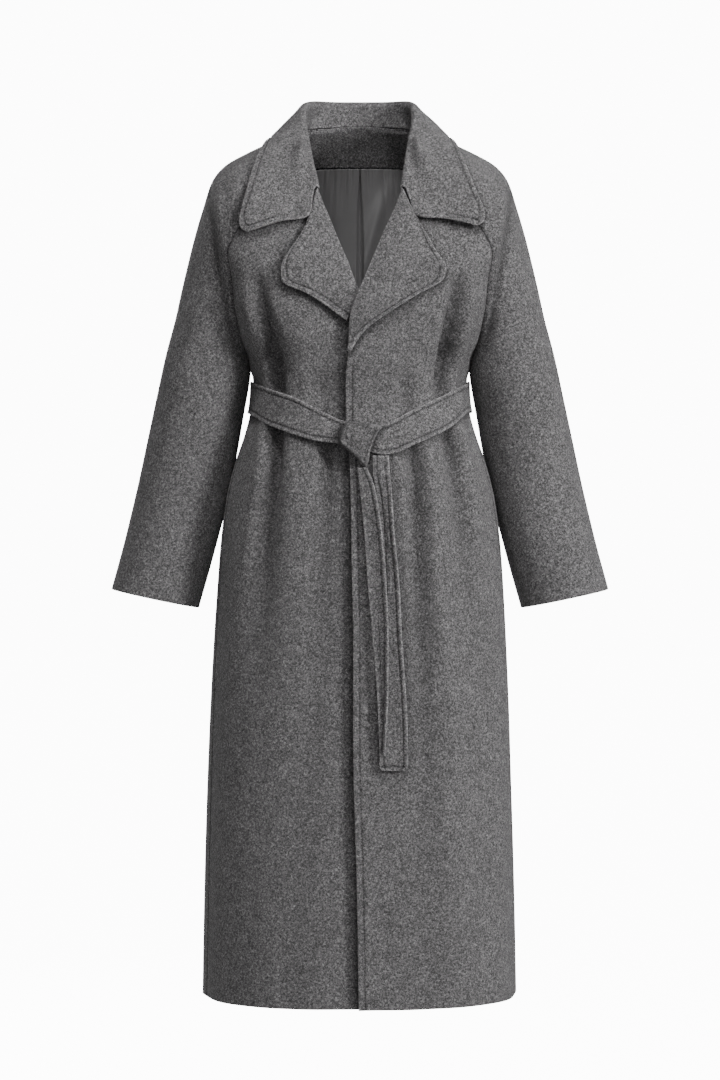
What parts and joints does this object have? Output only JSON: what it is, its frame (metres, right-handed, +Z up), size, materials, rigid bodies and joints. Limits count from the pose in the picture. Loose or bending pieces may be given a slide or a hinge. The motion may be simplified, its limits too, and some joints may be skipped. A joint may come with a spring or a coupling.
{
  "type": "wrap coat",
  "caption": "Long belted wrap coat with a wide notched collar, raglan sleeves and a knotted belt, hollow as worn.",
  "frame": {"origin": "over the middle of the body at the level of the shoulders, where the wearer's shoulders carry the coat", "axes": "+Z up, -Y to the front, +X to the wearer's left"},
  "size_m": [0.7064, 0.337, 1.2807],
  "materials": {
    "grey_wool": "matte melange wool cloth",
    "grey_lining": "smooth satin lining"
  },
  "bodies": {
    "root": {"front_left": "grey_wool", "front_right": "grey_wool", "back": "grey_wool", "sleeve_left": "grey_wool", "sleeve_right": "grey_wool", "collar": "grey_wool", "lapel_left": "grey_wool", "lapel_right": "grey_wool", "neck_facing": "grey_wool", "lining_back": "grey_lining", "belt_waist": "grey_wool", "belt_knot": "grey_wool", "belt_end_left": "grey_wool", "belt_end_right": "grey_wool"}
  },
  "joints": []
}
